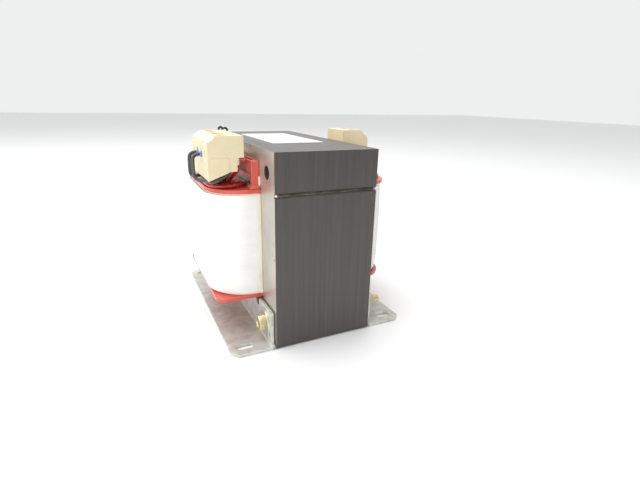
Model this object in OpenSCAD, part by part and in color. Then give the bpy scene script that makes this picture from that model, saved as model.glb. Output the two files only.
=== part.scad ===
// Open-frame single-phase autotransformer on a welded EI core.
// X runs through the lamination stack, Y along the yoke, Z up.
// The origin is the middle of the four mounting slots, on the underside of the feet.

/* [Core] */
// Width of the yoke and of each outer leg; the centre leg is twice as wide
yoke_w = 32; // [25:0.5:40]
// Thickness of the lamination stack
stack_t = 88; // [60:1:110]
// Diameter of the four holes through the stack
core_hole_d = 11; // [9:0.1:12]
// Distance from a hole's centre to the two nearest edges of the core
core_hole_edge = 17; // [12:0.5:20]
// Height of the underside of the core above the underside of the feet
core_lift = 1; // [0.5:0.1:3]
// Radius of the weld bead that joins the E and I laminations
weld_r = 2; // [1:0.1:3]

/* [Coil] */
// How far the coil stands out of each side of the core
coil_overhang = 39; // [30:0.5:48]
// Clearance between the coil and the outer legs
coil_side_gap = 1; // [0.5:0.1:3]
// Corner radius of the finished coil
coil_corner_r = 32; // [16:1:36]
// Thickness of the two flanges of the coil former
flange_t = 3; // [2:0.1:4]
// Corner radius of the lower flange on the left
lower_flange_corner_r = 10; // [4:1:20]
// Corner radius of both flanges on the right
right_flange_corner_r = 24; // [16:1:34]
// Wall of the former's tube
tube_wall = 2; // [1:0.1:3]
// Clearance between the former and the iron
former_gap = 0.5; // [0.2:0.1:1]
// End clearance between the former and the yokes
former_end_gap = 1; // [0.4:0.1:2]

/* [Terminal blocks] */
// Poles in the left terminal block
left_poles = 4; // [4:1:5]
// Poles in the right terminal block
right_poles = 2; // [2:1:4]
// Distance from one pole to the next
pole_pitch = 15; // [14:0.1:18]
// Solid wall at each end of a terminal block
block_end_wall = 1.5; // [1:0.1:4]
// Depth of a terminal block, away from the core
block_d = 28.2; // [26:0.1:32]
// Height of a terminal block's outer face and chamfer together
block_h = 34.1; // [32:0.1:40]
// Gap between the core and the back of a terminal block
block_standoff = 11; // [10:0.5:14]
// How far the near end of the left block stays short of the coil window's outer side
block_inset = 6.4; // [2:0.1:12]
// Gap under the outer edge of a block, for the leads on the flange
block_clearance = 7.5; // [7.2:0.1:12]

/* [Clamps] */
// Diameter of the clamp screws
screw_d = 5; // [4:0.5:5]
// Pitch of the clamp screws
screw_pitch = 0.8; // [0.7:0.1:0.8]
// Diameter of the clamp screws' heads
screw_head_d = 8; // [7:0.1:8.4]
// Height of the clamp screws' heads
screw_head_h = 3; // [2.4:0.1:3.2]
// Room under the current bar when a clamp is open
wire_room = 4.4; // [3.5:0.1:5]

/* [Leads] */
// Outside diameter of the sleeved winding leads
lead_d = 3.4; // [2.4:0.1:3.6]
// Outside diameter of the dark wires that join the left block to the coil
wire_d = 3.2; // [2.4:0.1:3.4]
// Outside diameter of the thin sleeved ends beside the left block
tail_lead_d = 2.2; // [1.6:0.1:2.6]

/* [Feet] */
// Thickness of the foot brackets
bracket_t = 2.5; // [2:0.1:3]
// How far a foot reaches out from the core's side
foot_reach = 37; // [34:0.5:44]
// Gap between the top of a bracket's upright and the coil former
bracket_gap = 2; // [0.6:0.1:4]
// Length of a mounting slot
slot_length = 15; // [10:0.5:16]
// Width of a mounting slot
slot_w = 6.6; // [5:0.1:8]
// Distance from a slot's middle to the outer edge of the foot
slot_edge_x = 13.5; // [11:0.5:16]
// Distance from a slot's middle to the end of the foot
slot_edge_y = 11; // [9:0.5:30]
// Diameter of the yoke bolts
bolt_d = 8; // [6:0.1:8.2]
// Width of the bolts' heads and nuts across their flats
hex_af = 13; // [12:0.1:14]
// Outside diameter of the plain washers
washer_d = 24; // [17:0.5:25]

/* [Label] */
// Size of the rating label across the stack
label_w = 48; // [20:1:70]
// Size of the rating label along the yoke
label_l = 100; // [40:1:120]

/* [Hidden] */
$fn = 64;
overshoot = 0.02;                // of a cut past the face it opens
core_l = 6 * yoke_w;
core_h = 5 * yoke_w;
window_bottom = yoke_w;
window_top = 4 * yoke_w;
core_side = stack_t / 2;
hole_y = core_l / 2 - core_hole_edge;

// Former and windings: half sizes across X and Y
tube_in = [core_side + former_gap, yoke_w + former_gap];
tube_out = [tube_in.x + tube_wall, tube_in.y + tube_wall];
coil_out = [core_side + coil_overhang, 2 * yoke_w - coil_side_gap];
flange_out = [coil_out.x + 0.2, coil_out.y + 0.4];
tube_corner_r = 4;
former_bottom = window_bottom + former_end_gap;
former_top = window_top - former_end_gap;
coil_bottom = former_bottom + flange_t;
coil_top = former_top - flange_t;
coil_h = coil_top - coil_bottom;

// Shares of the coil's build, from the tube outwards
common_to = 0.46;
interlayer_to = 0.50;
series_to = 0.94;

// Terminal blocks, drawn on the +X side; the other is turned half a turn
block_in = core_side + block_standoff;
block_out = block_in + block_d;
block_bottom = former_top + block_clearance;
block_top = block_bottom + block_h;
left_near_y = 2 * yoke_w - block_inset;
block_back_x = block_in + 5.5;       // lower back face
block_flat_x = block_in + 11.5;      // where the sloped underside starts
block_flat_z = block_bottom + 7;
rail_top = block_bottom + 15;
ledge_z = rail_top + 2.5;            // underside of the upper back part
left_chamfer = [7.7, 6];             // width and height
right_chamfer = [8.7, 7.6];
panel_t = 0.6;                       // raised panel on each end of a block

// Marker strip, let into the chamfer between two low lips
strip_w = 6.4;
strip_t = 1.2;
strip_sink = 0.6;
strip_short = 3;
strip_gap = 0.1;
lip_w = 0.8;
lip_h = 1;

// Clamp: everything is stacked down from the top of the block
clamp_gap = 0.3;
head_sink = 0.6;
web_t = 2;
cage_plate_t = 2.5;
cage_floor_t = 1.5;
cage_wall_t = 1.5;
cage_l = 7.6;
cage_w = 9.6;
bar_t = 1.8;
bar_w = 6;
bar_seat_gap = 0.1;
chamber_w = cage_w + 2 * clamp_gap;
screw_x = block_out - 13.2;
chamber_in = screw_x - 6;
chamber_out = screw_x + 7.5;
ceiling_z = block_top - head_sink - screw_head_h - web_t;
cage_travel = wire_room - clamp_gap;
cage_open_top = ceiling_z - clamp_gap - cage_travel;
bar_top = cage_open_top - cage_plate_t - clamp_gap;
bar_bottom = bar_top - bar_t;
cage_h = cage_plate_t + clamp_gap + bar_t + wire_room + cage_floor_t;
screw_thread_gap = 0.06;
entry_d = 6;                         // wire entry in a block's outer face
funnel_d = 9;
funnel_h = 2.2;
tail_x = block_back_x - 3.2;
tail_bottom = block_flat_z + 4;

// Wired poles of the left block, counted from its near end
wired = [1, 2];
sleeve_d = 2.5;
collar_d = 4.6;
collar_in = 3;                       // how far a collar reaches into its wire entry
wire_z = bar_bottom - sleeve_d / 2;
cage_lift_wired = wire_room - sleeve_d - 0.1;

// Terminal rail
rail_in = core_side + 0.3;
rail_out = rail_in + 6;
rail_bottom = rail_top - 11.9;
rail_mid = 3;                        // from a rail's inner face to its pegs and slot
rail_half_l = 2 * yoke_w - 3;
rail_wall = 1.5;
rail_floor_t = 3;
peg_d = 4;
peg_gap = 0.1;
hook_w = 5;
hook_t = 1.5;
hook_arm_t = 2.5;
hook_gap = 0.2;
post_l = 5.5;

// Feet and fasteners
sheet_t = 1;                          // insulating sheet behind each bracket
bracket_in = core_side + sheet_t;
bracket_face = bracket_in + bracket_t;
bracket_bend = 1.5;
foot_out = core_side + foot_reach;
bracket_h = core_lift + former_bottom - bracket_gap;
foot_clip = 6;
upright_short = 3;
washer_t = 1.6;
spring_washer_t = 2;
nut_h = 6.5;
head_h = 5.3;
head_dish_d = 7;                      // shallow dish in a bolt's head
head_dish_h = 0.5;
bolt_past_nut = 6.5;
tube_clear = 0.05;
bolt_clear = 0.15;
slot_x = foot_out - slot_edge_x;
slot_y = core_l / 2 - slot_edge_y;
bolt_z = core_lift + core_hole_edge;
nut_seat = bracket_face + washer_t + spring_washer_t;

// Winding leads, in lanes laid side by side on the upper flange
lead_r = lead_d / 2;
lane_pitch = 5;
lead_z = former_top + lead_r;
left_lane_poles = [2, 3, 3];         // the pole each lane serves, counted from the near end
left_lane_shifts = [0, 0.53 * lead_d, -0.53 * lead_d];
right_lanes = [1, 2];
lane_start_run = 5;                  // straight run before a lane's first bend
inner_bend_r = 8;
bend_centre = [block_flat_x - 0.5, left_near_y - 24.6];
lane_out = coil_out.x - 10.5;        // innermost lane along the coil's outer side
lead_hole_gap = 0.3;
wire_r = wire_d / 2;
direct_lead_holes = [bend_centre + [-3.7, 1.5], bend_centre + [-1.5, -4.5]];

// Dark wires of the left block
wire_start_x = block_out + 0.9;
wire_loop_x = block_out + 7.2;
wire_run_x = block_out - 3.2;
wire_low_z = former_top + lead_d + wire_r + 0.4;
rear_lead_inset = 81.1;              // from the left block's near end

screw_nodes = [for (s = ["left", "right"], i = [1:poles(s)]) str(s, "_clamp_screw_", i)];
cage_nodes = [for (s = ["left", "right"], i = [1:poles(s)]) str(s, "_clamp_cage_", i)];

// ---------- helpers ----------

module on_feet() { translate([0, 0, core_lift]) children(); }

// "right" is the +X side; the left side is the same thing turned half a turn
module on_side(side) { rotate([0, 0, side == "left" ? 180 : 0]) children(); }

// An outline given in Y and Z, extruded along X
module along_x(from, to) {
    translate([from, 0, 0]) rotate([90, 0, 90]) linear_extrude(to - from) children();
}

// An outline given in X and Z, extruded along Y
module along_y(from, to) {
    translate([0, to, 0]) rotate([90, 0, 0]) linear_extrude(to - from) children();
}

module block(low, high) { translate(low) cube(high - low); }

// A plate with corner radius r at its -X end and r_right at its +X end
module rounded_plate(half, r, r_right) {
    union() {
        translate([-half.x + r, -half.y]) square([2 * half.x - r - r_right, 2 * half.y]);
        translate([-half.x, -half.y + r]) square([r, 2 * (half.y - r)]);
        translate([half.x - r_right, -half.y + r_right]) square([r_right, 2 * (half.y - r_right)]);
        for (y = [-1, 1]) {
            translate([-half.x + r, y * (half.y - r)]) circle(r);
            translate([half.x - r_right, y * (half.y - r_right)]) circle(r_right);
        }
    }
}

module slot_outline(length, width) {
    square([length - width, width], center = true);
    for (x = [-1, 1]) translate([x * (length - width) / 2, 0]) circle(d = width);
}

module ring(d_in, d_out, t) {
    difference() {
        cylinder(d = d_out, h = t);
        translate([0, 0, -overshoot]) cylinder(d = d_in, h = t + 2 * overshoot);
    }
}

// Place children at both yoke bolts, with local Z along +X
module at_bolts() {
    for (y = [-hole_y, hole_y]) translate([0, y, bolt_z]) rotate([0, 90, 0]) children();
}

function unit(v) = v / norm(v);

// The arc that rounds the corner at b between a and c, with radius r, in n steps
function corner_arc(a, b, c, r, n) =
    let (u = unit(a - b), v = unit(c - b), half = acos(u * v) / 2,
         middle = b + unit(u + v) * r / sin(half),
         from = b + u * r / tan(half) - middle, to = b + v * r / tan(half) - middle,
         sweep_angle = 180 - 2 * half)
    [for (k = [0:n])
        middle + (from * sin((1 - k / n) * sweep_angle) + to * sin(k / n * sweep_angle))
            / sin(sweep_angle)];

// A route through pts whose corners have the radii listed, one for each inner point
function route(pts, radii, n = 4) =
    let (last = len(pts) - 1)
    concat([pts[0]],
        [for (i = [1:last - 1]) each corner_arc(pts[i - 1], pts[i], pts[i + 1], radii[i - 1], n)],
        [pts[last]]);

function tangents(p) =
    let (last = len(p) - 1)
    [for (i = [0:last]) unit(p[min(i + 1, last)] - p[max(i - 1, 0)])];

function carried_normals(t, n, i = 0, done = []) =
    i == len(t) ? done
    : let (flat = unit(n - (n * t[i]) * t[i]))
      carried_normals(t, flat, i + 1, concat(done, [flat]));

// A round lead of radius r along the points p
module lead(p, r, start_normal = [1, 0.1, 0], sides = 10) {
    t = tangents(p);
    n = carried_normals(t, start_normal);
    rings = len(p);
    points = [for (i = [0:rings - 1], j = [0:sides - 1])
        let (angle = 360 * j / sides)
        p[i] + r * (cos(angle) * n[i] + sin(angle) * cross(t[i], n[i]))];
    walls = [for (i = [0:rings - 2], j = [0:sides - 1])
        let (k = (j + 1) % sides)
        [i * sides + j, (i + 1) * sides + j, (i + 1) * sides + k, i * sides + k]];
    start_cap = [for (j = [0:sides - 1]) j];
    end_cap = [for (j = [sides - 1:-1:0]) (rings - 1) * sides + j];
    polyhedron(points, concat(walls, [start_cap, end_cap]), convexity = 8);
}

function poles(side) = side == "left" ? left_poles : right_poles;
function chamfer(side) = side == "left" ? left_chamfer : right_chamfer;

// The right block sits in the middle of its rail
function block_l(side) = poles(side) * pole_pitch + 2 * block_end_wall;
function near_y(side) = side == "left" ? left_near_y : block_l(side) / 2;
function far_y(side) = near_y(side) - block_l(side);
function pole_y(side, i) = near_y(side) - block_end_wall - pole_pitch * (i + 0.5);
function is_wired(side, i) = side == "left" && len(search(i, wired)) > 0;

// ---------- core ----------

module weld_groove() {
    for (y = [-1, 1]) translate([0, y * (core_l / 2 - 0.8 * weld_r), window_top])
        rotate([0, 90, 0]) cylinder(r = weld_r, h = stack_t + 2, center = true);
}

module core_holes(heights) {
    for (y = [-hole_y, hole_y], z = heights) translate([0, y, z])
        rotate([0, 90, 0]) cylinder(d = core_hole_d, h = stack_t + 2, center = true);
}

module e_laminations() {
    color("#2e2b29") on_feet() difference() {
        along_x(-core_side, core_side) difference() {
            translate([-core_l / 2, 0]) square([core_l, window_top]);
            for (y = [-2 * yoke_w, yoke_w]) translate([y, window_bottom])
                square([yoke_w, window_top - window_bottom + 1]);
        }
        core_holes([core_hole_edge]);
        weld_groove();
    }
}

module i_laminations() {
    color("#34302d") on_feet() difference() {
        block([-core_side, -core_l / 2, window_top], [core_side, core_l / 2, core_h]);
        core_holes([core_h - core_hole_edge]);
        weld_groove();
    }
}

module weld_beads() {
    color("#8d8a85") on_feet()
        for (y = [-1, 1]) translate([0, y * (core_l / 2 - 0.8 * weld_r), window_top])
            rotate([0, 90, 0]) cylinder(r = weld_r, h = stack_t, center = true);
}

module rating_label() {
    label_t = 0.3;
    shift_y = 11;
    color("white") on_feet()
        translate([-label_w / 2, shift_y - label_l / 2, core_h]) cube([label_w, label_l, label_t]);
}

// ---------- coil ----------

// Flange holes for the leads, drawn on the +X side
function lane_start(k) =
    [bend_centre.x - inner_bend_r - lane_pitch * k, bend_centre.y - lane_start_run];
function left_lead_holes() =
    concat(direct_lead_holes, [for (k = [0:len(left_lane_poles) - 1]) lane_start(k)]);
function right_lead_holes() = [for (k = right_lanes) [lane_start(k).x, -lane_start(k).y]];
function wire_holes() =
    [bend_centre + [3, -7], [bend_centre.x, (pole_y("left", 2) + pole_y("left", 3)) / 2]];
function rear_lead_holes() =
    let (y = min(left_near_y - rear_lead_inset, far_y("left") - 3.1))
    [for (x = [5.1, 1.5]) [rail_out + x, y]];

module coil_former() {
    color("#b0302c") on_feet() difference() {
        union() {
            translate([0, 0, former_bottom]) linear_extrude(flange_t)
                rounded_plate(flange_out, lower_flange_corner_r, right_flange_corner_r);
            translate([0, 0, former_bottom]) linear_extrude(former_top - former_bottom)
                rounded_plate(tube_out, tube_corner_r, tube_corner_r);
            translate([0, 0, coil_top]) linear_extrude(flange_t)
                rounded_plate(flange_out, coil_corner_r, right_flange_corner_r);
        }
        block([-tube_in.x, -tube_in.y, former_bottom - 1], [tube_in.x, tube_in.y, former_top + 1]);
        for (side = ["left", "right"]) on_side(side) {
            for (p = side == "left" ? left_lead_holes() : right_lead_holes())
                translate([p.x, p.y, coil_top - 1])
                    cylinder(r = lead_r + lead_hole_gap, h = flange_t + 2);
            for (y = [-1, 1]) translate([rail_in + rail_mid, y * (rail_half_l - post_l / 2), coil_top - 1])
                cylinder(d = peg_d + 2 * peg_gap, h = flange_t + 2);
        }
        on_side("left") {
            for (p = wire_holes()) translate([p.x, p.y, coil_top - 1])
                cylinder(r = wire_r + lead_hole_gap, h = flange_t + 2);
            for (p = rear_lead_holes()) translate([p.x, p.y, coil_top - 1])
                cylinder(r = tail_lead_d / 2 + lead_hole_gap, h = flange_t + 2);
        }
    }
}

function build_half(f) = tube_out + f * (coil_out - tube_out);
function build_r(f) = tube_corner_r + f * (coil_corner_r - tube_corner_r);

// One layer of the coil, from share f0 to share f1 of its build
module coil_layer(f0, f1) {
    on_feet() translate([0, 0, coil_bottom]) difference() {
        linear_extrude(coil_h) rounded_plate(build_half(f1), build_r(f1), build_r(f1));
        translate([0, 0, -1]) linear_extrude(coil_h + 2)
            rounded_plate(build_half(f0), build_r(f0), build_r(f0));
    }
}

module common_winding() { color("#a5562a") coil_layer(0, common_to); }
module interlayer_insulation() { color("#e8dcb8") coil_layer(common_to, interlayer_to); }
module series_winding() { color("#b3602f") coil_layer(interlayer_to, series_to); }
module coil_wrap() { color("#f4f3ee") coil_layer(series_to, 1); }

// ---------- terminal rails ----------

function hook_ys(side) =
    [for (i = [0:2:poles(side) - 2]) (pole_y(side, i) + pole_y(side, i + 1)) / 2];

module terminal_rail(side) {
    color("#b8332e") on_side(side) on_feet() difference() {
        union() {
            block([rail_in, -rail_half_l, rail_bottom], [rail_out, rail_half_l, rail_top]);
            for (y = [-1, 1]) translate([0, y * (rail_half_l - post_l / 2), 0]) {
                block([rail_in, -post_l / 2, former_top], [rail_out, post_l / 2, rail_bottom + 1]);
                along_y(-post_l / 2 - 1.5, post_l / 2 + 1.5) polygon([
                    [rail_in, former_top], [rail_out + 2, former_top],
                    [rail_out + 2, former_top + 1.4], [rail_out, former_top + 2.8],
                    [rail_in, former_top + 2.8]]);
                translate([rail_in + rail_mid, 0, coil_top]) cylinder(d = peg_d, h = flange_t + 1);
            }
            for (y = hook_ys(side)) translate([0, y, 0]) {
                block([rail_out - 1, -hook_w / 2, ledge_z - 6],
                      [block_in + 2 * hook_t, hook_w / 2, ledge_z - 6 + hook_arm_t]);
                block([block_in + hook_t, -hook_w / 2, ledge_z - 6],
                      [block_in + 2 * hook_t, hook_w / 2, ledge_z + 3]);
            }
        }
        translate([(rail_in + rail_out) / 2, 0, rail_bottom + rail_floor_t])
            linear_extrude(rail_top - rail_bottom) rotate([0, 0, 90])
                slot_outline(2 * (rail_half_l - post_l), rail_out - rail_in - 2 * rail_wall);
    }
}

module left_terminal_rail() { terminal_rail("left"); }
module right_terminal_rail() { terminal_rail("right"); }

// ---------- terminal blocks ----------

module block_outline(chamfer) {
    polygon([
        [block_back_x, block_flat_z], [block_flat_x, block_flat_z - 0.5],
        [block_out, block_bottom], [block_out, block_top - chamfer.y],
        [block_out - chamfer.x, block_top], [block_in, block_top],
        [block_in, ledge_z], [block_back_x, ledge_z]]);
}

// Local Z is the outward normal of the block's chamfer, with the origin at its middle
module on_chamfer(side) {
    size = chamfer(side);
    translate([block_out - size.x / 2, (near_y(side) + far_y(side)) / 2, block_top - size.y / 2])
        rotate([0, atan2(size.y, size.x), 0]) children();
}

module terminal_block(side) {
    panel_x = [block_flat_x + 0.5, block_out - 3];
    strip_l = block_l(side) - strip_short;
    color("#dccfa0") on_side(side) on_feet() difference() {
        union() {
            along_y(far_y(side), near_y(side)) block_outline(chamfer(side));
            along_y(far_y(side) - panel_t, near_y(side) + panel_t) polygon([
                [panel_x[0], block_flat_z - 0.7], [panel_x[1], block_bottom + 1.3],
                [panel_x[1], block_bottom + 17.2], [panel_x[0], block_bottom + 17.2]]);
            on_chamfer(side) for (x = [-1, 1])
                translate([x * (strip_w + lip_w + 4 * strip_gap) / 2, 0, 0.3])
                    cube([lip_w, block_l(side), lip_h], center = true);
        }
        on_chamfer(side) translate([0, 0, strip_t / 2 - strip_sink])
            cube([strip_w + 2 * strip_gap, strip_l + 2 * strip_gap, strip_t], center = true);
        for (i = [0:poles(side) - 1]) translate([0, pole_y(side, i), 0]) {
            // access bore and screw hole
            translate([screw_x, 0, ceiling_z + web_t]) cylinder(d = screw_head_d + 0.8, h = block_top);
            translate([screw_x, 0, ceiling_z - 1]) cylinder(d = screw_d + 0.6, h = web_t + 2);
            // chamber, open underneath
            block([chamber_in, -chamber_w / 2, block_bottom - 1], [chamber_out, chamber_w / 2, ceiling_z]);
            // seats and slot for the current bar
            block([chamber_in - 6, -bar_w / 2 - bar_seat_gap, bar_bottom],
                  [chamber_in + 1, bar_w / 2 + bar_seat_gap, bar_top + bar_seat_gap]);
            block([chamber_out - 1, -bar_w / 2 - bar_seat_gap, bar_bottom],
                  [chamber_out + 1.2, bar_w / 2 + bar_seat_gap, bar_top + bar_seat_gap]);
            block([tail_x - 0.3, -bar_w / 2 - bar_seat_gap, ledge_z - 1],
                  [block_back_x + overshoot, bar_w / 2 + bar_seat_gap, bar_top + bar_seat_gap]);
            // wire entry with a funnel
            translate([chamber_out - 1, 0, wire_z]) rotate([0, 90, 0]) cylinder(d = entry_d, h = 20);
            translate([block_out - funnel_h, 0, wire_z]) rotate([0, 90, 0])
                cylinder(d1 = entry_d, d2 = funnel_d, h = funnel_h + overshoot);
        }
        for (y = hook_ys(side)) translate([0, y, 0])
            block([block_in - 1, -hook_w / 2 - hook_gap, ledge_z - 1],
                  [block_in + 2 * hook_t + hook_gap, hook_w / 2 + hook_gap, ledge_z + 3 + hook_gap]);
    }
}

module left_terminal_block() { terminal_block("left"); }
module right_terminal_block() { terminal_block("right"); }

module marker_strip(side) {
    color("white") on_side(side) on_feet() on_chamfer(side)
        translate([0, 0, strip_t / 2 - strip_sink])
            cube([strip_w, block_l(side) - strip_short, strip_t], center = true);
}

module left_marker_strip() { marker_strip("left"); }
module right_marker_strip() { marker_strip("right"); }

module current_bars(side) {
    color("#c9c6bf") on_side(side) on_feet()
        for (i = [0:poles(side) - 1]) translate([0, pole_y(side, i), 0])
        along_y(-bar_w / 2, bar_w / 2) polygon([
            [tail_x, bar_top], [tail_x, tail_bottom], [tail_x + bar_t, tail_bottom],
            [tail_x + bar_t, bar_bottom], [chamber_out + 1, bar_bottom], [chamber_out + 1, bar_top]]);
}

module left_current_bars() { current_bars("left"); }
module right_current_bars() { current_bars("right"); }

module clamp_screw(side, i) {
    slot_depth = 1.4;
    shank_top = ceiling_z + web_t + 0.1;
    tip_z = bar_top + 0.1;
    point_h = screw_pitch / 2;
    color("#c4b27a") on_side(side) on_feet() translate([screw_x, pole_y(side, i), 0]) difference() {
        union() {
            translate([0, 0, tip_z]) cylinder(d1 = screw_d - screw_pitch, d2 = screw_d, h = point_h);
            translate([0, 0, tip_z + point_h]) cylinder(d = screw_d, h = shank_top - tip_z);
            translate([0, 0, shank_top]) cylinder(d = screw_head_d, h = screw_head_h - 0.1);
        }
        translate([0, 0, shank_top + screw_head_h])
            cube([screw_head_d + 1, 1.2, 2 * slot_depth], center = true);
    }
}

module clamp_cage(side, i) {
    lift = is_wired(side, i) ? cage_lift_wired : 0;
    window_w = cage_w - 2 * cage_wall_t;
    color("#b9b5ab") on_side(side) on_feet()
        translate([screw_x, pole_y(side, i), cage_open_top + lift - cage_h]) difference() {
            translate([-cage_l / 2, -cage_w / 2, 0]) cube([cage_l, cage_w, cage_h]);
            translate([-cage_l / 2 - 1, -window_w / 2, cage_floor_t])
                cube([cage_l + 2, window_w, cage_h - cage_floor_t - cage_plate_t]);
            translate([0, 0, cage_h - cage_plate_t - 1])
                cylinder(d = screw_d + 2 * screw_thread_gap, h = cage_plate_t + 2);
        }
}

// ---------- leads ----------

// Lead of lane k: out of the flange, round the corner, along the rim and up to a tail at y.
// It comes from the +Y end, or from the -Y end where end is -1.
function lane_route(k, y, end) =
    let (r = inner_bend_r + lane_pitch * k, start_x = lane_start(k).x, start_y = end * lane_start(k).y,
         run_y = end * (bend_centre.y + r), lane_x = lane_out + 4 * k, x = tail_x + bar_t / 2)
    route([
        [start_x, start_y, coil_top], [start_x, start_y, lead_z], [start_x, run_y, lead_z],
        [lane_x, run_y, lead_z], [lane_x, y, lead_z], [x, y, lead_z + 3], [x, y, tail_bottom]],
        [2.4, r, 7 + 3 * k, 4, 5]);

// Short lead: straight out of the flange to the tail above it
function direct_route(k) =
    let (p = direct_lead_holes[k], x = tail_x + bar_t / 2, y = pole_y("left", k))
    route([
        [p.x, p.y, coil_top], [p.x, p.y, former_top + 4], [x, y, tail_bottom - 5], [x, y, tail_bottom]],
        [4, 4], 3);

module left_winding_leads() {
    color("#a8201f") on_side("left") on_feet() {
        for (k = [0:1]) lead(direct_route(k), lead_r);
        for (k = [0:len(left_lane_poles) - 1])
            lead(lane_route(k, pole_y("left", left_lane_poles[k]) + left_lane_shifts[k], 1), lead_r);
    }
}

module right_winding_leads() {
    color("#a8201f") on_side("right") on_feet()
        for (k = right_lanes) lead(lane_route(k, pole_y("right", right_poles - k), -1), lead_r);
}

// The two dark wires leave the left block, loop out and run back under it to the coil
module near_jumper_wire() {
    y = pole_y("left", wired[0]);
    run_y = left_near_y - 3.6;
    hole = wire_holes()[0];
    color("#2b2f31") on_side("left") on_feet() lead(route([
        [wire_start_x, y, wire_z], [wire_loop_x, y, wire_z], [wire_loop_x, y + 1.5, wire_low_z],
        [wire_run_x, y + 6, wire_low_z], [wire_run_x, run_y, wire_low_z],
        [block_flat_x, run_y, wire_low_z + 6.6], [block_flat_x - 2, run_y - 12, wire_low_z + 5.6],
        [hole.x, hole.y, former_top + 4], [hole.x, hole.y, coil_top]],
        [4.5, 5, 6, 5, 4, 4, 3]), wire_r);
}

module far_jumper_wire() {
    y = pole_y("left", wired[1]);
    hole = wire_holes()[1];
    color("#2b2f31") on_side("left") on_feet() lead(route([
        [wire_start_x, y, wire_z], [wire_loop_x, y, wire_z], [wire_loop_x, y - 1.5, wire_low_z],
        [wire_run_x, hole.y, wire_low_z], [hole.x, hole.y, wire_low_z + 0.5],
        [hole.x, hole.y, coil_top]],
        [4.5, 5, 6, 3]), wire_r);
}

// Two thin sleeved ends beside the far end of the left block: one arches over, one is bent out
module rear_sleeved_leads() {
    holes = rear_lead_holes();
    arch_top = block_top + 1.2;
    start_x = rail_in + rail_mid;
    y = holes[0].y - 1;
    color("#1c1c1b") on_side("left") on_feet() {
        lead(route([
            [holes[0].x, holes[0].y, coil_top], [holes[0].x, holes[0].y, arch_top],
            [holes[1].x, holes[1].y, arch_top], [holes[1].x, holes[1].y, coil_top]],
            [1.7, 1.7]), tail_lead_d / 2);
        lead(route([
            [start_x, y, rail_bottom + rail_floor_t], [start_x, y, arch_top - 1.2],
            [start_x + 3.6, y, arch_top - 0.6]], [1.6]), tail_lead_d / 2);
    }
}

module ferrule_collars() {
    color("#2f63b8") on_side("left") on_feet() for (i = wired)
        translate([block_out - collar_in, pole_y("left", i), wire_z]) rotate([0, 90, 0])
            cylinder(d = collar_d, h = wire_start_x - block_out + collar_in);
}

module ferrule_sleeves() {
    past_screw = 4.5;
    color("#c8c8c8") on_side("left") on_feet() for (i = wired)
        translate([screw_x - past_screw, pole_y("left", i), wire_z]) rotate([0, 90, 0])
            cylinder(d = sleeve_d, h = block_out - collar_in - screw_x + past_screw);
}

// ---------- feet and fasteners ----------

module bracket_outline() {
    r_out = bracket_bend + bracket_t;
    difference() {
        union() {
            translate([bracket_in, 0]) square([foot_out - bracket_in, bracket_t]);
            translate([bracket_in, 0]) square([bracket_t, bracket_h]);
            translate([bracket_face, bracket_t]) square(bracket_bend);
        }
        translate([bracket_face + bracket_bend, bracket_t + bracket_bend]) circle(bracket_bend);
        difference() {
            translate([bracket_in - 1, -1]) square(r_out + 1);
            translate([bracket_in + r_out, r_out]) circle(r_out);
        }
    }
}

module foot_bracket() {
    half_l = core_l / 2;
    up_l = half_l - upright_short;
    color("#a9acae") difference() {
        along_y(-half_l, half_l) bracket_outline();
        for (s = [-1, 1]) {
            // the upright is a little shorter than the foot
            translate([0, s * (up_l + 5), 0])
                block([bracket_in - 1, -5, bracket_t + bracket_bend],
                      [bracket_face + bracket_bend + 1, 5, bracket_h + 1]);
            // clipped corners of the foot
            translate([foot_out, s * half_l, -1]) rotate([0, 0, 45])
                cube([foot_clip * sqrt(2), foot_clip * sqrt(2), 4 * bracket_t], center = true);
            translate([slot_x, s * slot_y, -1])
                linear_extrude(bracket_t + 2) slot_outline(slot_length, slot_w);
            translate([bracket_in - 1, s * hole_y, bolt_z]) rotate([0, 90, 0])
                cylinder(d = bolt_d + 1, h = bracket_t + 2);
        }
    }
}

module left_foot_bracket() { on_side("left") foot_bracket(); }
module right_foot_bracket() { on_side("right") foot_bracket(); }

module foot_insulating_sheets() {
    half_l = core_l / 2 - upright_short - 1;
    color("#3b3026") for (side = ["left", "right"]) on_side(side) difference() {
        block([core_side, -half_l, core_lift + 0.5], [bracket_in, half_l, bracket_h - 0.5]);
        for (y = [-hole_y, hole_y]) translate([core_side - 1, y, bolt_z]) rotate([0, 90, 0])
            cylinder(d = core_hole_d, h = sheet_t + 2);
    }
}

// Corners of the window lining that show under the lower flange
module window_liner_tabs() {
    tab_t = 0.8;
    color("#151515") for (side = ["left", "right"]) on_side(side)
        translate([0, 0, core_lift]) along_x(bracket_face, bracket_face + tab_t)
            translate([2 * yoke_w, former_bottom]) polygon([[-11, 0], [-2, 0], [-3.5, -8.5]]);
}

module bolt_insulating_tubes() {
    color("#6d5b3c") at_bolts() translate([0, 0, -core_side - sheet_t])
        ring(bolt_d + 2 * bolt_clear, core_hole_d - 2 * tube_clear, stack_t + 2 * sheet_t);
}

// Heads on the left, nuts on the right
module yoke_bolts() {
    seat = bracket_face + washer_t;
    color("#c9b86a") at_bolts() translate([0, 0, -seat]) difference() {
        union() {
            cylinder(d = bolt_d, h = seat + nut_seat + nut_h + bolt_past_nut);
            translate([0, 0, -head_h]) rotate([0, 0, 12]) cylinder(d = hex_af / cos(30), h = head_h, $fn = 6);
        }
        translate([0, 0, -head_h - head_dish_h]) cylinder(d = head_dish_d, h = 2 * head_dish_h);
    }
}

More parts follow.
